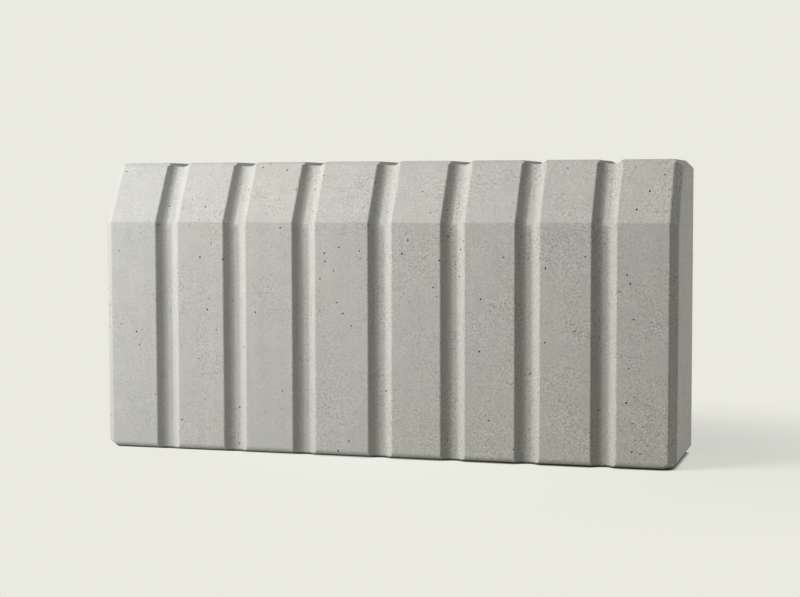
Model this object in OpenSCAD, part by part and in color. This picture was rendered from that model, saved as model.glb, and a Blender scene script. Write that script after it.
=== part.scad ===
// Ribbed concrete kerb stone, standing on its base.
// Millimetres. X runs along the kerb, the ribbed front faces -Y and Z is up.
// The origin is the middle of the base.

/* [Body] */
// Length along the kerb line
body_len = 500; // [400:10:1000]
// Thickness from the ribbed front to the plain back
body_depth = 105; // [90:1:150]
// Height from the base to the top
body_h = 250; // [200:5:300]

/* [Front] */
// How far the upper front leans back, measured at the level of the top
lean_run = 29; // [10:1:45]
// Height of the leaning upper front
lean_rise = 51.5; // [30:0.5:80]
// Run of the small bevel between the leaning front and the top
top_bevel_run = 5.5; // [3:0.5:8]
// Drop of the small bevel between the leaning front and the top
top_bevel_drop = 3; // [1:0.5:5]
// Radius of the rounding along the foot of the front
foot_r = 6; // [2:0.5:6]

/* [Ribs] */
// Number of ribs across the front
rib_count = 8; // [4:1:12]
// Rib that is wider than the others, counted from the left
wide_rib = 4; // [1:1:4]
// Extra width of that rib
wide_rib_extra = 4.5; // [0:0.5:10]

/* [Grooves] */
// Width of a groove at its mouth
groove_w = 20.5; // [18:0.5:24]
// Width of a groove at its floor, before the corners are rounded
groove_floor_w = 9.5; // [8:0.5:12]
// Depth of a groove in the front
groove_depth = 6.5; // [5:0.5:9]
// Depth of a groove where it runs over the top
top_groove_depth = 3.5; // [2:0.5:6]
// Radius in the floor corners of a groove
groove_fillet_r = 7; // [3:0.5:8]
// How much smaller the grooves and the corner bevels get past a bend of the front
bend_step = 0.3; // [0.2:0.1:1]

/* [Ends] */
// Leg of the bevel on the upright front corners and along the top of the ends
end_bevel = 6.5; // [3:0.5:10]
// Leg of the bevel along the foot of the ends and of their front corners
end_foot_bevel = 6; // [3:0.5:10]

/* [Hidden] */
$fn = 64;
concrete = [0.70, 0.70, 0.665];

front_y = -body_depth / 2;
back_y = body_depth / 2;
crease_z = body_h - lean_rise;
lean_angle = atan2(lean_run, lean_rise);
over_top_angle = 90;
bevel_low_z = body_h - top_bevel_drop;
bevel_low_y = front_y + lean_run * (lean_rise - top_bevel_drop) / lean_rise;

groove_count = rib_count - 1;
rib_w = (body_len - 2 * end_bevel - groove_count * groove_w - wide_rib_extra) / rib_count;

// Least flat left on a groove's floor between its rounded corners
least_flat = 1;

// Length of a cutting prism, and how far it stands out of the face that it cuts
reach = 2 * (body_len + body_h);
clear = 10;

// Left edge of a rib, counted from 1
function rib_left(i) =
    -body_len / 2 + end_bevel + (i - 1) * (rib_w + groove_w) + (i > wide_rib ? wide_rib_extra : 0);

// Middle of the groove on the right of a rib
function groove_x(i) = rib_left(i + 1) - groove_w / 2;

// The kerb's section, with Y across and Z up, and the foot of the front rounded
module side_profile() {
    polygon([
        [front_y + foot_r, 0],
        [back_y, 0],
        [back_y, body_h],
        [bevel_low_y + top_bevel_run, body_h],
        [bevel_low_y, bevel_low_z],
        [front_y, crease_z],
        [front_y, foot_r]
    ]);
    translate([front_y + foot_r, foot_r]) circle(r = foot_r);
}

// The groove's section: X across, Y into the concrete, floor corners rounded
module groove_section(depth, inset) {
    mouth = groove_w / 2 - inset;
    floor_x = groove_floor_w / 2 - inset;
    draft = atan2(mouth - floor_x, depth);
    half_turn = (90 - draft) / 2;
    fillet_r = min(groove_fillet_r, (floor_x - least_flat / 2) / tan(half_turn));
    tangent = fillet_r * tan(half_turn);
    wall_x = floor_x + tangent * sin(draft);
    wall_y = depth - tangent * cos(draft);
    polygon([
        [-mouth, -clear],
        [mouth, -clear],
        [mouth, 0],
        [wall_x, wall_y],
        [floor_x - tangent, depth],
        [tangent - floor_x, depth],
        [-wall_x, wall_y],
        [-mouth, 0]
    ]);
    for (side = [-1, 1])
        translate([side * (floor_x - tangent), depth - fillet_r]) circle(r = fillet_r);
}

module groove_prism(depth, inset = 0) {
    linear_extrude(height = reach, center = true) groove_section(depth, inset);
}

// One groove: straight up the front from the base, back along the lean and over the top
module groove(x) {
    bent_depth = groove_depth - bend_step;
    translate([x, front_y, 0]) groove_prism(groove_depth);
    translate([x, front_y, crease_z]) rotate([-lean_angle, 0, 0]) groove_prism(bent_depth, bend_step);
    translate([x, 0, body_h]) rotate([-over_top_angle, 0, 0]) groove_prism(top_groove_depth, bend_step);
}

// Prism that takes a 45 degree bevel off an edge along Z
module bevel_prism(leg) {
    linear_extrude(height = reach, center = true)
        rotate(45) square(leg * sqrt(2), center = true);
}

// All the bevels of one end, at +X or at -X
module end_bevels(side) {
    end_x = side * body_len / 2;
    lean_leg = end_bevel - bend_step;
    corner_leg = end_foot_bevel - bend_step;
    translate([end_x, front_y, 0]) bevel_prism(end_bevel);
    translate([end_x, front_y, crease_z]) rotate([-lean_angle, 0, 0]) bevel_prism(lean_leg);
    translate([end_x, 0, body_h]) rotate([-over_top_angle, 0, 0]) bevel_prism(end_bevel);
    translate([end_x, 0, 0]) rotate([-over_top_angle, 0, 0]) bevel_prism(end_foot_bevel);
    translate([end_x - side * end_bevel / 2, front_y + end_bevel / 2, 0])
        rotate([0, 0, -side * 45]) rotate([-over_top_angle, 0, 0]) bevel_prism(corner_leg);
}

module kerb_stone() {
    color(concrete)
        difference() {
            rotate([90, 0, 90])
                linear_extrude(height = body_len, center = true) side_profile();
            for (i = [1:groove_count]) groove(groove_x(i));
            for (side = [-1, 1]) end_bevels(side);
        }
}

kerb_stone();
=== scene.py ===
"""Ribbed concrete kerb stone: its cast surface, its air pores and a plain studio stage."""

import math
import random

import bmesh
import bpy
from bpy.props import (
    FloatProperty,
    FloatVectorProperty,
    IntProperty,
    PointerProperty,
    StringProperty,
)
from mathutils import Matrix, Vector


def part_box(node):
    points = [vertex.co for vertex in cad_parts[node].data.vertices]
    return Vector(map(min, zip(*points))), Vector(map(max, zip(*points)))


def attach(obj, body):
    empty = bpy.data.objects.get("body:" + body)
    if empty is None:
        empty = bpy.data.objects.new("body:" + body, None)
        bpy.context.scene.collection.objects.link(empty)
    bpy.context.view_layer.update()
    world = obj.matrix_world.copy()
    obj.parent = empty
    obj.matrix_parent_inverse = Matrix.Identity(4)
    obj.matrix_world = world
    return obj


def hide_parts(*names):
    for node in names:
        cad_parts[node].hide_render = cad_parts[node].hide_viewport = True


bl_info = {
    "name": "Ribbed Kerb Stone",
    "version": (1, 0, 0),
    "blender": (4, 5, 0),
    "location": "View3D > Sidebar > Kerb",
    "description": "Models a cast concrete kerb stone with a ribbed front, and a stage for it",
    "category": "Object",
}

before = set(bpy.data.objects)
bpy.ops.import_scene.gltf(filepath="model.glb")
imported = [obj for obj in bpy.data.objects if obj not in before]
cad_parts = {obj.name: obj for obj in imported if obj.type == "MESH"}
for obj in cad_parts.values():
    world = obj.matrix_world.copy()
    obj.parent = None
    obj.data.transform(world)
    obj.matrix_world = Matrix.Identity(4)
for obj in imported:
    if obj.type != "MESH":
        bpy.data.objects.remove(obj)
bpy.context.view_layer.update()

MM = 0.001
NODE = "kerb_stone"
IMAGE_WIDTH_PX = 800
SENSOR_MM = 36.0

# Facets across a cast rounding and across a worn arris, and the angle up to which shading is smooth
CAST_FACETS = 8
ARRIS_FACETS = 3
SMOOTH_BELOW = math.radians(35)

# Sizes of the concrete's patterns. Sand is really about 0.5 mm, which wouldn't show in the render
CLOUD_MM = 75
DRIFT_MM = 34
BLOTCH_MM = 16
STREAK_MM = 9
SAND_MM = 1.6
PINHOLE_MM = 1.8
DUST_MM = 2.0
STREAK_STRETCH = 0.06

# The parts of a noise's range that are spread over a whole effect, from the narrowest up
NOISE_CORE = (0.36, 0.64)
NOISE_MAIN = (0.3, 0.7)
NOISE_WIDE = (0.25, 0.75)

# How strongly each pattern shows. SAND_SHADE and PINHOLE_PAINTED_SHADE go from the left end to the right
END_TINT = 0.65
BLOTCH_SHADE = (0.965, 1.035)
STREAK_SHADE = (0.975, 1.02)
SAND_SHADE = (0.125, 0.31)
SAND_PATCH = (0.5, 1.35)
PINHOLE_REACH = (0.14, 0.36)
PINHOLE_EDGE = 0.04
# How much darker the pinholes get: painted shade inside them
PINHOLE_PAINTED_SHADE = (-0.25, -0.5)
# Painted shade along the foot: the heights over which it fades out, and how dark it gets
CONTACT_SHADE_HEIGHT = (1.1 * MM, 2.4 * MM)
CONTACT_SHADE_RANGE = (0.12, 1.0)
# Share of the dark pore grey in a pore, which is partly painted shade in the hollow
PORE_PAINTED_SHADE = 0.75
SKIN_RELIEF = 0.12 * MM
SKIN_RELIEF_STRENGTH = 0.6
SKIN_ROUGHNESS = 0.88
PORE_ROUGHNESS = 0.95
CONCRETE_IOR = 1.5

# The floor: its size, the gap under the stone that stays dark, and how it fades from the shadow
FLOOR_SIZE = 12.0
GAP_REACH = 5 * MM
GAP_SAMPLES = 8
GAP_OPEN = (0.3, 0.75)
SHADOW_MIDDLE = (0.2, 0.05, 0.0)
FLOOR_FADE = (0.08, 0.42)
SKY_COLOUR = (1.0, 1.0, 0.985, 1.0)

# Each lamp's name, place, aim and size, and the stage setting that holds its power
LAMPS = (
    ("Key_Lamp", (-1.09, -0.87, 0.9), (0.0, 0.0, 0.1), 0.75, "key_power"),
    ("Top_Lamp", (0.2, -0.35, 1.2), (0.15, 0.0, 0.2), 0.7, "top_power"),
    ("Fill_Lamp", (1.0, 0.36, 0.14), (0.25, 0.0, 0.12), 0.3, "fill_power"),
)

low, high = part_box(NODE)


def length_prop(name, description, default_mm):
    """A length in metres, shown as a length, with its default given in millimetres."""
    return FloatProperty(
        name=name,
        description=description,
        default=default_mm * MM,
        min=0.0,
        subtype="DISTANCE",
        unit="LENGTH",
        precision=4,
    )


def colour_prop(name, description, default):
    """A colour as an sRGB hex value."""
    return StringProperty(name=name, description=description, default=default)


class KerbSizes(bpy.types.PropertyGroup):
    """Sizes of the kerb stone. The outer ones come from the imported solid."""

    length: length_prop("Length", "Along the kerb line", (high.x - low.x) / MM)
    depth: length_prop("Depth", "From the ribbed front to the plain back", (high.y - low.y) / MM)
    height: length_prop("Height", "From the base to the top", (high.z - low.z) / MM)
    lean_run: length_prop("Lean Run", "How far the upper front leans back", 29.0)
    lean_rise: length_prop("Lean Rise", "Height of the leaning upper front", 51.5)
    top_bevel_run: length_prop("Top Bevel Run", "Run of the bevel at the front of the top", 5.5)
    top_bevel_drop: length_prop("Top Bevel Drop", "Drop of the bevel at the front of the top", 3.0)
    foot_radius: length_prop("Foot Radius", "Rounding along the foot of the front", 6.0)
    end_bevel: length_prop("End Bevel", "Leg of the bevels on the ends' corners and tops", 6.5)
    end_foot_bevel: length_prop(
        "End Foot Bevel", "Leg of the bevel along the foot of the ends and corners", 6.0
    )
    rib_count: IntProperty(name="Ribs", description="Number of ribs", default=8, min=2)
    wide_rib: IntProperty(
        name="Wide Rib", description="The wider rib, from the left", default=4, min=1
    )
    wide_rib_extra: length_prop("Extra Width", "How much wider that rib is", 4.5)
    groove_width: length_prop("Groove Width", "Width of a groove at its mouth", 20.5)
    groove_floor: length_prop("Groove Floor", "Width of a groove's floor, unrounded", 9.5)
    groove_depth: length_prop("Groove Depth", "Depth of a groove in the front", 6.5)
    groove_top_depth: length_prop("Groove Depth on Top", "Depth of a groove over the top", 3.5)
    groove_radius: length_prop("Groove Radius", "Radius in a groove's floor corners", 7.0)
    arris: length_prop("Arris", "Width of the worn rounding on every edge", 0.9)


class ConcreteLook(bpy.types.PropertyGroup):
    """Colours and air pores of the cast concrete."""

    cool: colour_prop("Cool Grey", "Bluish clouds in the cement skin", "#B2B2AE")
    warm: colour_prop("Warm Grey", "Yellowish clouds in the cement skin", "#B5B4AA")
    # Partly the raw cement's own grey, partly painted shade in the pore's hollow
    pore: colour_prop("Pore Grey", "Inside of an air pore", "#7A7973")
    pore_count: IntProperty(
        name="Pores", description="Air pores over the whole stone", default=700, min=0
    )
    pore_smallest: length_prop("Smallest Pore", "Radius of the smallest air pore", 0.4)
    pore_largest: length_prop("Largest Pore", "Radius of the largest air pore", 1.0)
    pore_seed: IntProperty(name="Pore Seed", description="Places of the pores", default=7)


class StageLook(bpy.types.PropertyGroup):
    """Floor, background, lamps and camera."""

    floor: colour_prop("Floor", "Floor paper, as it throws light back", "#A8A8A2")
    floor_shadow: colour_prop("Floor Shadow", "Floor paper, as its shadow is seen", "#94958D")
    floor_lift: FloatProperty(
        name="Floor Lift", description="Paleness added to the seen floor", default=0.68
    )
    background: colour_prop("Background", "Pale background", "#EAEAE1")
    key_power: FloatProperty(
        name="Key", description="Power of the key lamp", default=33.4, unit="POWER"
    )
    top_power: FloatProperty(
        name="Top", description="Power of the top lamp", default=2.4, unit="POWER"
    )
    fill_power: FloatProperty(
        name="Fill", description="Power of the fill lamp", default=2.9, unit="POWER"
    )
    sky: FloatProperty(
        name="Sky", description="Strength of the even light from all round", default=0.05
    )
    camera_place: FloatVectorProperty(
        name="Camera Place",
        description="Where the camera stands",
        default=(0.4111, -1.3858, 0.2202),
        subtype="TRANSLATION",
        unit="LENGTH",
        precision=4,
    )
    camera_turn: FloatProperty(
        name="Camera Turn",
        description="How far the camera turns to the left of straight on",
        default=math.radians(16.342),
        subtype="ANGLE",
    )
    camera_tilt: FloatProperty(
        name="Camera Tilt",
        description="How far the camera looks down",
        default=math.radians(3.503),
        subtype="ANGLE",
    )
    camera_roll: FloatProperty(
        name="Camera Roll",
        description="How far the camera leans",
        default=math.radians(-0.107),
        subtype="ANGLE",
    )
    focal_px: FloatProperty(
        name="Focal Length",
        description="Focal length in pixels of the picture",
        default=1671.0,
    )


def linear(hex_colour):
    """An sRGB hex colour as linear RGBA."""
    parts = [int(hex_colour[i:i + 2], 16) / 255 for i in (1, 3, 5)]
    return [c / 12.92 if c <= 0.04045 else ((c + 0.055) / 1.055) ** 2.4 for c in parts] + [1.0]


def add_node(tree, kind, settings=None, inputs=None):
    """Adds a node with its settings, and sets its inputs or links them to other nodes' outputs."""
    made = tree.nodes.new(kind)
    for name, value in (settings or {}).items():
        setattr(made, name, value)
    for name, value in (inputs or {}).items():
        if isinstance(value, bpy.types.NodeSocket):
            tree.links.new(value, made.inputs[name])
        else:
            made.inputs[name].default_value = value
    return made


def pattern_scale(size_mm):
    """Scale at which a texture's features are about this many millimetres across."""
    return 1000.0 / size_mm


def new_material(name):
    """An empty node material and its tree."""
    material = bpy.data.materials.new(name)
    material.use_nodes = True
    material.node_tree.nodes.clear()
    return material, material.node_tree


def noise(tree, place, size_mm, detail=2.0, roughness=0.5):
    """A noise with features of a given size."""
    return add_node(tree, "ShaderNodeTexNoise", {}, {
        "Vector": place,
        "Scale": pattern_scale(size_mm),
        "Detail": detail,
        "Roughness": roughness,
    }).outputs["Fac"]


def ranged(tree, value, source=(0.0, 1.0), target=(0.0, 1.0), steps="LINEAR"):
    """A value taken from one range to another, and held inside it."""
    return add_node(tree, "ShaderNodeMapRange", {"interpolation_type": steps}, {
        "Value": value,
        "From Min": source[0],
        "From Max": source[1],
        "To Min": target[0],
        "To Max": target[1],
    }).outputs["Result"]


def reckon(tree, operation, *values):
    """The result of one sum."""
    return add_node(
        tree, "ShaderNodeMath", {"operation": operation}, dict(enumerate(values))
    ).outputs["Value"]


def mix_colours(tree, share, first, second, blend="MIX"):
    """The second colour laid over the first by a share."""
    return add_node(tree, "ShaderNodeMix", {"data_type": "RGBA", "blend_type": blend}, {
        0: share, 6: first, 7: second,
    }).outputs[2]


def cast_concrete(look):
    """Fine-grained concrete cast in a smooth mould: a matt cement skin with soft clouds, faint
    streaks down the mould's wall, sand grains that just show, and pinholes of trapped air. The
    pinholes' darkening and the dark band along the foot are painted shade."""
    material, tree = new_material("Cast Concrete")
    place = add_node(tree, "ShaderNodeTexCoord").outputs["Object"]
    spot = add_node(tree, "ShaderNodeSeparateXYZ", {}, {"Vector": place}).outputs

    # The mix gets coarser, yellower and more porous towards the right end
    end_share = ranged(tree, spot["X"], (low.x, high.x))

    # Clouds where the cement paste settled, a hand's breadth across
    cloud_share = ranged(tree, noise(tree, place, CLOUD_MM, 3.0, 0.55), NOISE_CORE)
    warm_share = add_node(tree, "ShaderNodeMix", {"data_type": "FLOAT"}, {
        0: END_TINT, 2: cloud_share, 3: end_share,
    }).outputs[0]
    colour = mix_colours(tree, warm_share, linear(look.cool), linear(look.warm))

    # Blotches of a finger's breadth and streaks down the mould, each as a factor
    blotch = noise(tree, place, BLOTCH_MM, 4.0, 0.6)
    blotch_factor = ranged(tree, blotch, NOISE_MAIN, BLOTCH_SHADE)
    stretched = add_node(tree, "ShaderNodeMapping", {}, {
        "Vector": place, "Scale": (1.0, 1.0, STREAK_STRETCH),
    })
    streak = noise(tree, stretched.outputs["Vector"], STREAK_MM)
    streak_factor = ranged(tree, streak, NOISE_MAIN, STREAK_SHADE)

    # Sand that shows more in some drifts than in others
    sand = noise(tree, place, SAND_MM, 2.0, 0.7)
    sand_swing = ranged(tree, sand, NOISE_WIDE, (-1.0, 1.0))
    drift = noise(tree, place, DRIFT_MM)
    sand_contrast = reckon(
        tree, "MULTIPLY",
        ranged(tree, end_share, target=SAND_SHADE),
        ranged(tree, drift, NOISE_CORE, SAND_PATCH),
    )
    sand_factor = reckon(tree, "MULTIPLY_ADD", sand_swing, sand_contrast, 1.0)

    # Pinholes too small to model: under 1 mm across, in drifts with calm skin between them. Their
    # darkening is painted shade inside holes that aren't modelled
    cell = add_node(tree, "ShaderNodeTexVoronoi", {}, {
        "Vector": place, "Scale": pattern_scale(PINHOLE_MM),
    })
    chance = add_node(tree, "ShaderNodeSeparateColor", {}, {"Color": cell.outputs["Color"]})
    reach = ranged(tree, drift, NOISE_CORE, PINHOLE_REACH)
    size = reckon(tree, "MULTIPLY", reach, chance.outputs["Red"])
    inside = reckon(tree, "SUBTRACT", size, cell.outputs["Distance"])
    pinhole = ranged(tree, inside, (-PINHOLE_EDGE, PINHOLE_EDGE))
    # Painted shade inside the pinholes, deeper towards the right end
    pinhole_painted_shade = ranged(tree, end_share, target=PINHOLE_PAINTED_SHADE)
    pinhole_factor = reckon(tree, "MULTIPLY_ADD", pinhole, pinhole_painted_shade, 1.0)

    # The last millimetres above the ground are painted darker: painted shade of the dark gap where
    # the foot meets the floor
    painted_contact_shade = ranged(tree, spot["Z"], CONTACT_SHADE_HEIGHT, CONTACT_SHADE_RANGE)

    for factor in (blotch_factor, streak_factor, sand_factor, pinhole_factor, painted_contact_shade):
        colour = mix_colours(tree, 1.0, colour, factor, "MULTIPLY")

    # The sand lifts the skin by a few hundredths of a millimetre, and the pinholes go in
    bump = add_node(tree, "ShaderNodeBump", {}, {
        "Height": reckon(tree, "SUBTRACT", sand, pinhole),
        "Distance": SKIN_RELIEF,
        "Strength": SKIN_RELIEF_STRENGTH,
    })
    skin = add_node(tree, "ShaderNodeBsdfPrincipled", {}, {
        "Base Color": colour,
        "Normal": bump.outputs["Normal"],
        "Roughness": SKIN_ROUGHNESS,
        "IOR": CONCRETE_IOR,
    })
    add_node(tree, "ShaderNodeOutputMaterial", {}, {"Surface": skin.outputs["BSDF"]})
    return material


def pore_concrete(look):
    """Raw cement inside an air pore: dusty, and darker partly because the mould never touched it
    and partly as painted shade in the hollow.
    """
    material, tree = new_material("Cast Concrete Air Pore")
    place = add_node(tree, "ShaderNodeTexCoord").outputs["Object"]
    dust = noise(tree, place, DUST_MM)
    dusty = mix_colours(tree, dust, linear(look.pore), linear(look.warm))
    skin = add_node(tree, "ShaderNodeBsdfPrincipled", {}, {
        # The dark pore grey laid over the dust is partly painted shade in the hollow
        "Base Color": mix_colours(tree, PORE_PAINTED_SHADE, dusty, linear(look.pore)),
        "Roughness": PORE_ROUGHNESS,
        "IOR": CONCRETE_IOR,
    })
    add_node(tree, "ShaderNodeOutputMaterial", {}, {"Surface": skin.outputs["BSDF"]})
    return material


def add_block(name, lowest, highest):
    """A cube primitive stretched between two corners, with its place in its mesh."""
    bpy.ops.object.select_all(action="DESELECT")
    middle = (Vector(lowest) + Vector(highest)) / 2
    bpy.ops.mesh.primitive_cube_add(size=1.0, location=middle)
    block = bpy.context.object
    block.name = name
    block.scale = Vector(highest) - Vector(lowest)
    bpy.ops.object.transform_apply(location=True, rotation=True, scale=True)
    return block


def slice_off(point, outward):
    """In edit mode, cuts the whole mesh by a plane, drops what is outside and closes the cut."""
    bpy.ops.mesh.select_all(action="SELECT")
    bpy.ops.mesh.bisect(
        plane_co=point, plane_no=Vector(outward).normalized(), use_fill=True, clear_outer=True
    )


def select_faces(block, facing):
    """In edit mode, selects only the faces that face a given way."""
    bpy.ops.mesh.select_mode(type="FACE")
    bpy.ops.mesh.select_all(action="DESELECT")
    mesh = bmesh.from_edit_mesh(block.data)
    way = Vector(facing).normalized()
    for face in mesh.faces:
        face.select = face.normal.dot(way) > 0.999
    mesh.select_flush(True)
    bmesh.update_edit_mesh(block.data)


def select_edges(block, wanted):
    """In edit mode, selects only the edges for which wanted(edge) is true."""
    bpy.ops.mesh.select_mode(type="EDGE")
    bpy.ops.mesh.select_all(action="DESELECT")
    mesh = bmesh.from_edit_mesh(block.data)
    mesh.normal_update()
    for edge in mesh.edges:
        edge.select = wanted(edge)
    bmesh.update_edit_mesh(block.data)


def round_edges(width, facets):
    """In edit mode, rounds the selected edges."""
    bpy.ops.mesh.bevel(
        offset_type="OFFSET", offset=width, segments=facets, profile=0.5, affect="EDGES",
        clamp_overlap=False,
    )


def select_only(block):
    """In object mode, makes one object the only selected one, and the active one."""
    bpy.ops.object.select_all(action="DESELECT")
    block.select_set(True)
    bpy.context.view_layer.objects.active = block


def cut_with(block, cutter):
    """Cuts one mesh out of another with an applied Boolean, and removes the cutter."""
    select_only(block)
    cut = block.modifiers.new("Cut", "BOOLEAN")
    cut.operation = "DIFFERENCE"
    cut.solver = "EXACT"
    cut.object = cutter
    cut.material_mode = "TRANSFER"
    bpy.ops.object.modifier_apply(modifier=cut.name)
    bpy.data.objects.remove(cutter)
    if not block.data.polygons:
        raise RuntimeError(f"The cut left nothing of {block.name}")


def plain_body(s):
    """The stone before its grooves: a block with its lean and ends sliced off and a round foot."""
    front, back = -s.depth / 2, s.depth / 2
    crease = s.height - s.lean_rise
    lean = math.atan2(s.lean_run, s.lean_rise)
    lean_out = Vector((0.0, -math.cos(lean), math.sin(lean)))
    bevel_z = s.height - s.top_bevel_drop
    bevel_y = front + s.lean_run * (s.lean_rise - s.top_bevel_drop) / s.lean_rise
    block = add_block(
        "Kerb_Stone", (-s.length / 2, front, 0.0), (s.length / 2, back, s.height)
    )
    bpy.ops.object.mode_set(mode="EDIT")
    slice_off((0.0, front, crease), lean_out)
    slice_off((0.0, bevel_y, bevel_z), (0.0, -s.top_bevel_drop, s.top_bevel_run))
    select_edges(
        block, lambda e: all(v.co.y < front / 2 and v.co.z < s.height / 2 for v in e.verts)
    )
    round_edges(s.foot_radius, CAST_FACETS)
    for side in (-1, 1):
        corner = side * (s.length / 2 - s.end_bevel)
        slice_off((corner, front, 0.0), (side, -1.0, 0.0))
        slice_off((corner, front, crease), Vector((side, 0.0, 0.0)) + lean_out)
        slice_off((corner, 0.0, s.height), (side, 0.0, 1.0))
        slice_off((side * (s.length / 2 - s.end_foot_bevel), 0.0, 0.0), (side, 0.0, -1.0))
        slice_off((corner, front, s.end_foot_bevel), (side, -1.0, -math.sqrt(2.0)))
    bpy.ops.object.mode_set(mode="OBJECT")
    return block


def groove_bar(s, depth, start, end):
    """A straight upright bar with a groove's section: X across, Y into the stone."""
    mouth = s.groove_width / 2
    clear = 12 * MM
    bar = add_block("Groove_Bar", (-mouth, 0.0, start), (mouth, depth, end))
    draft = math.atan2((s.groove_width - s.groove_floor) / 2, depth)
    tangent = s.groove_radius * math.tan((math.pi / 2 - draft) / 2)
    bpy.ops.object.mode_set(mode="EDIT")
    select_faces(bar, (0.0, 1.0, 0.0))
    narrowing = s.groove_floor / s.groove_width
    bpy.ops.transform.resize(value=(narrowing, 1.0, 1.0), center_override=(0.0, depth, 0.0))
    select_edges(
        bar, lambda e: all(v.co.y > depth / 2 for v in e.verts)
        and abs(e.verts[0].co.z - e.verts[1].co.z) > (end - start) / 2
    )
    round_edges(tangent, CAST_FACETS)
    select_faces(bar, (0.0, -1.0, 0.0))
    bpy.ops.mesh.extrude_region_move(TRANSFORM_OT_translate={"value": (0.0, -clear, 0.0)})
    bpy.ops.object.mode_set(mode="OBJECT")
    return bar


def groove_cutter(s):
    """The bar that leaves a groove: straight up the front from the base, then on along the lean."""
    crease = s.height - s.lean_rise
    lean = math.atan2(s.lean_run, s.lean_rise)
    along = Vector((0.0, math.sin(lean), math.cos(lean)))
    mitre = Vector((0.0, math.sin(lean / 2), math.cos(lean / 2)))
    past_top, below_base = 0.12, -0.1
    bar = groove_bar(s, s.groove_depth, below_base, s.height)
    bpy.ops.object.mode_set(mode="EDIT")
    slice_off((0.0, 0.0, crease), mitre)
    select_faces(bar, mitre)
    bpy.ops.mesh.extrude_region_move(TRANSFORM_OT_translate={"value": along * past_top})
    bpy.ops.object.mode_set(mode="OBJECT")
    return bar


def groove_places(s):
    """The middle of each groove along X."""
    grooves = s.rib_count - 1
    rib = (s.length - 2 * s.end_bevel - grooves * s.groove_width - s.wide_rib_extra) / s.rib_count
    first = -s.length / 2 + s.end_bevel + rib + s.groove_width / 2
    return [
        first + i * (rib + s.groove_width) + (s.wide_rib_extra if i + 1 >= s.wide_rib else 0.0)
        for i in range(grooves)
    ]


def place_copies(bar, turn, y, z, places):
    """One object with a copy of the bar at each groove, turned about X and moved into place."""
    bpy.ops.object.select_all(action="DESELECT")
    copies = []
    for x in places:
        copy = bpy.data.objects.new("Groove_Copy", bar.data.copy())
        bpy.context.collection.objects.link(copy)
        copy.data.transform(Matrix.Translation((x, y, z)) @ Matrix.Rotation(turn, 4, "X"))
        copy.select_set(True)
        copies.append(copy)
    bpy.data.objects.remove(bar)
    bpy.context.view_layer.objects.active = copies[0]
    bpy.ops.object.join()
    return copies[0]


def soften_edges(block, s):
    """Rounds every edge a little, as a mould's joints and handling leave them. Short edges are
    left as they are, except where a groove's mouth runs down round the foot."""
    sharp, flat = math.radians(13), math.radians(0.5)
    same_place = 0.02 * MM
    ground, above_ground = 0.05 * MM, 0.4 * MM
    shortest, shortest_below = 2.2 * s.arris, 20 * MM
    corner_x = s.length / 2 - 2 * s.end_bevel
    corner_z = 2 * s.foot_radius
    loop_x = s.length / 2 - s.end_bevel - 2.5 * s.arris

    def wanted(edge):
        if len(edge.link_faces) != 2 or edge.calc_face_angle(0.0) < sharp:
            return False
        lower, upper = sorted(v.co.z for v in edge.verts)
        at_corner = all(abs(v.co.x) > corner_x for v in edge.verts) and upper < corner_z
        if upper < ground or at_corner:
            return edge.calc_length() > shortest_below
        round_foot = above_ground < lower < upper - ground < s.foot_radius
        return edge.calc_length() > shortest or round_foot

    select_only(block)
    bpy.ops.object.mode_set(mode="EDIT")
    bpy.ops.mesh.select_all(action="SELECT")
    bpy.ops.mesh.remove_doubles(threshold=same_place)
    bpy.ops.mesh.dissolve_limited(angle_limit=flat)
    select_edges(block, wanted)
    round_edges(s.arris, ARRIS_FACETS)
    bpy.ops.mesh.select_all(action="SELECT")
    bpy.ops.mesh.remove_doubles(threshold=same_place)
    # A loop beside each corner keeps the corner's shading off the long strips of the round foot
    for side in (-1, 1):
        bpy.ops.mesh.select_all(action="SELECT")
        bpy.ops.mesh.bisect(plane_co=(side * loop_x, 0.0, 0.0), plane_no=(1.0, 0.0, 0.0))
    bpy.ops.object.mode_set(mode="OBJECT")


def air_pores(block, look):
    """One mesh of small balls on the stone's skin, each a bubble that the mould wall opened. A ray
    from a side of the stone's box finds each place, so the order of the faces doesn't matter."""
    dice = random.Random(look.pore_seed)
    size = high - low
    front, end, top = size.x * size.z, size.y * size.z, size.x * size.y
    ways = [Vector(way) for way in ((0, 1, 0), (0, -1, 0), (1, 0, 0), (-1, 0, 0), (0, 0, -1))]
    weights = [front, front, end, end, top]
    nearest = 3.5 * look.pore_largest
    outside = 10 * MM
    flattest, sunk_share = 0.75, 0.25
    bpy.context.view_layer.update()
    balls = bmesh.new()
    taken = []
    for way in dice.choices(ways, weights=weights, k=look.pore_count):
        start = Vector(dice.uniform(low[i], high[i]) for i in range(3))
        for i in range(3):
            if way[i]:
                start[i] = (low[i] if way[i] > 0 else high[i]) - way[i] * outside
        spread = dice.random() ** 3
        radius = look.pore_smallest + (look.pore_largest - look.pore_smallest) * spread
        stretch = dice.uniform(flattest, 1.0)
        spin = dice.uniform(0.0, math.tau)
        hit, point, normal, _ = block.ray_cast(start, way)
        if not hit or any((point - other).length < nearest for other in taken):
            continue
        taken.append(point)
        turn = normal.to_track_quat("Z", "Y").to_matrix().to_4x4()
        shape = Matrix.Diagonal((radius, radius * stretch, radius, 1.0))
        sunk = point - normal * radius * sunk_share
        place = Matrix.Translation(sunk) @ turn @ Matrix.Rotation(spin, 4, "Z") @ shape
        bmesh.ops.create_icosphere(balls, subdivisions=2, radius=1.0, matrix=place)
    mesh = bpy.data.meshes.new("Air_Pores")
    balls.to_mesh(mesh)
    balls.free()
    pores = bpy.data.objects.new("Air_Pores", mesh)
    bpy.context.collection.objects.link(pores)
    return pores


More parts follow.
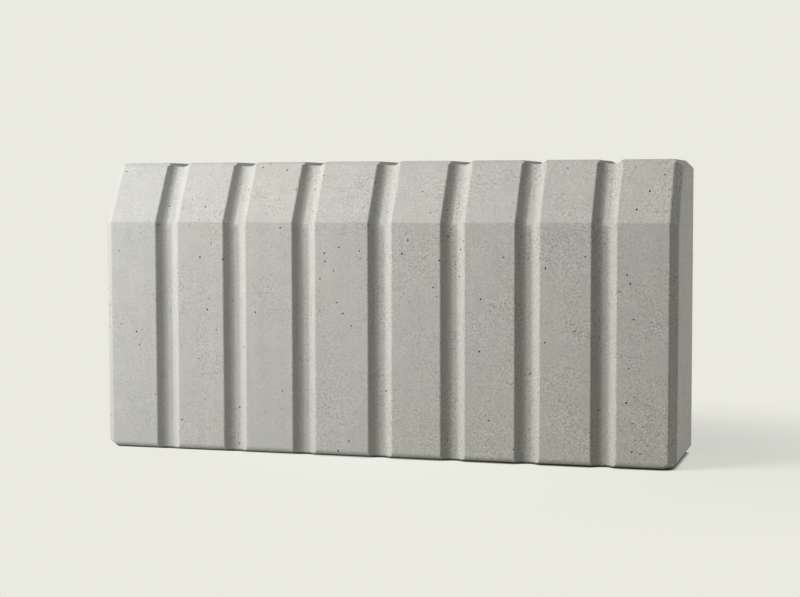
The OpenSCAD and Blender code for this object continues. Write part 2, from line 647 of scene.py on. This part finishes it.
class KERB_OT_stone(bpy.types.Operator):
    """Model the kerb stone with its grooves, worn arrises and air pores"""

    bl_idname = "kerb.stone"
    bl_label = "Kerb Stone"

    def execute(self, context):
        s, look = context.scene.kerb_sizes, context.scene.kerb_concrete
        places = groove_places(s)
        block = plain_body(s)
        front_bars = place_copies(groove_cutter(s), 0.0, -s.depth / 2, 0.0, places)
        cut_with(block, front_bars)
        top_bar = groove_bar(s, s.groove_top_depth, -s.depth, s.depth)
        top_bars = place_copies(top_bar, math.radians(-90), 0.0, s.height, places)
        cut_with(block, top_bars)
        soften_edges(block, s)
        block.data.materials.clear()
        block.data.materials.append(cast_concrete(look))
        pores = air_pores(block, look)
        pores.data.materials.append(pore_concrete(look))
        cut_with(block, pores)
        bpy.ops.object.shade_smooth_by_angle(angle=SMOOTH_BELOW)
        even = block.modifiers.new("Even Shading", "WEIGHTED_NORMAL")
        even.keep_sharp = True
        bpy.ops.object.modifier_apply(modifier=even.name)
        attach(block, "root")
        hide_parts(NODE)
        return {"FINISHED"}


def add_lamp(name, place, target, size, power):
    """A square soft lamp that faces a point."""
    bpy.ops.object.light_add(type="AREA", location=place)
    lamp = bpy.context.object
    lamp.name = name
    lamp.data.shape = "SQUARE"
    lamp.data.size = size
    lamp.data.energy = power
    lamp.visible_camera = False
    way = Vector(target) - lamp.location
    lamp.rotation_euler = way.to_track_quat("-Z", "Y").to_euler()


def seen_directly(tree):
    """1 for what the camera sees, also in a mirror or through glass, and 0 for light."""
    path = add_node(tree, "ShaderNodeLightPath").outputs
    mirrored = reckon(tree, "MAXIMUM", path["Is Camera Ray"], path["Is Glossy Ray"])
    return reckon(tree, "MAXIMUM", mirrored, path["Is Transmission Ray"])


def pale_floor(look):
    """Matt studio paper: it takes the stone's soft shadow, and fades into the pale background."""
    material, tree = new_material("Studio Paper")
    place = add_node(tree, "ShaderNodeTexCoord").outputs["Object"]
    seen = seen_directly(tree)
    paper = add_node(tree, "ShaderNodeBsdfDiffuse", {}, {
        "Color": mix_colours(tree, seen, linear(look.floor), linear(look.floor_shadow)),
    })

    # No paleness in the narrow gap under the stone, on its shaded side
    gap = add_node(tree, "ShaderNodeAmbientOcclusion", {"samples": GAP_SAMPLES}, {
        "Distance": GAP_REACH,
    })
    pale = reckon(tree, "MULTIPLY", seen, ranged(tree, gap.outputs["AO"], GAP_OPEN))
    lift = add_node(tree, "ShaderNodeEmission", {}, {
        "Color": linear(look.background),
        "Strength": reckon(tree, "MULTIPLY", pale, look.floor_lift),
    })
    lit = add_node(tree, "ShaderNodeAddShader", {}, {
        0: paper.outputs["BSDF"], 1: lift.outputs["Emission"],
    })
    backdrop = add_node(tree, "ShaderNodeEmission", {}, {"Color": linear(look.background)})

    # The shadow falls to the right of the stone, so the paper is at its plainest there
    from_shadow = add_node(tree, "ShaderNodeMapping", {}, {
        "Vector": place, "Location": [-c for c in SHADOW_MIDDLE],
    })
    distance = add_node(tree, "ShaderNodeVectorMath", {"operation": "LENGTH"}, {
        0: from_shadow.outputs["Vector"],
    })
    far = ranged(tree, distance.outputs["Value"], FLOOR_FADE, steps="SMOOTHSTEP")
    mixed = add_node(tree, "ShaderNodeMixShader", {}, {
        0: reckon(tree, "MULTIPLY", far, seen),
        1: lit.outputs["Shader"],
        2: backdrop.outputs["Emission"],
    })
    add_node(tree, "ShaderNodeOutputMaterial", {}, {"Surface": mixed.outputs["Shader"]})
    return material


def even_sky(look):
    """A world that lights evenly from all round and shows the pale background."""
    world = bpy.data.worlds.new("Studio")
    bpy.context.scene.world = world
    world.use_nodes = True
    tree = world.node_tree
    tree.nodes.clear()
    light = add_node(tree, "ShaderNodeBackground", {}, {"Color": SKY_COLOUR, "Strength": look.sky})
    shown = add_node(tree, "ShaderNodeBackground", {}, {"Color": linear(look.background)})
    mixed = add_node(tree, "ShaderNodeMixShader", {}, {
        0: seen_directly(tree), 1: light.outputs["Background"], 2: shown.outputs["Background"],
    })
    add_node(tree, "ShaderNodeOutputWorld", {}, {"Surface": mixed.outputs["Shader"]})


class KERB_OT_stage(bpy.types.Operator):
    """Set up the pale floor, the soft lamps and the camera"""

    bl_idname = "kerb.stage"
    bl_label = "Stage"

    def execute(self, context):
        look = context.scene.kerb_stage
        bpy.ops.object.select_all(action="DESELECT")
        bpy.ops.mesh.primitive_plane_add(size=FLOOR_SIZE, location=(0.0, 0.0, 0.0))
        floor = context.object
        floor.name = "Floor"
        floor.data.materials.append(pale_floor(look))
        even_sky(look)
        for name, place, target, size, power in LAMPS:
            add_lamp(name, place, target, size, getattr(look, power))
        bpy.ops.object.camera_add(location=look.camera_place)
        camera = context.object
        camera.name = "Camera"
        turn = Matrix.Rotation(look.camera_turn, 4, "Z")
        tilt = Matrix.Rotation(math.pi / 2 - look.camera_tilt, 4, "X")
        roll = Matrix.Rotation(look.camera_roll, 4, "Z")
        camera.rotation_euler = (turn @ tilt @ roll).to_euler()
        camera.data.sensor_width = SENSOR_MM
        camera.data.lens = look.focal_px * SENSOR_MM / IMAGE_WIDTH_PX
        context.scene.camera = camera
        context.scene.view_settings.view_transform = "Standard"
        return {"FINISHED"}


class KERB_PT_panel(bpy.types.Panel):
    """Sizes, concrete and stage of the kerb stone"""

    bl_label = "Kerb Stone"
    bl_idname = "KERB_PT_panel"
    bl_space_type = "VIEW_3D"
    bl_region_type = "UI"
    bl_category = "Kerb"

    def draw(self, context):
        for group, operator in (
            (context.scene.kerb_sizes, KERB_OT_stone.bl_idname),
            (context.scene.kerb_concrete, None),
            (context.scene.kerb_stage, KERB_OT_stage.bl_idname),
        ):
            box = self.layout.box()
            for name in group.__annotations__:
                box.prop(group, name)
            if operator:
                box.operator(operator)


CLASSES = (KerbSizes, ConcreteLook, StageLook, KERB_OT_stone, KERB_OT_stage, KERB_PT_panel)
GROUPS = {"kerb_sizes": KerbSizes, "kerb_concrete": ConcreteLook, "kerb_stage": StageLook}


def register():
    for cls in CLASSES:
        bpy.utils.register_class(cls)
    for name, group in GROUPS.items():
        setattr(bpy.types.Scene, name, PointerProperty(type=group))


def unregister():
    for name in GROUPS:
        delattr(bpy.types.Scene, name)
    for cls in reversed(CLASSES):
        bpy.utils.unregister_class(cls)


def main():
    register()
    bpy.ops.kerb.stone()
    bpy.ops.kerb.stage()


if __name__ == "__main__":
    main()
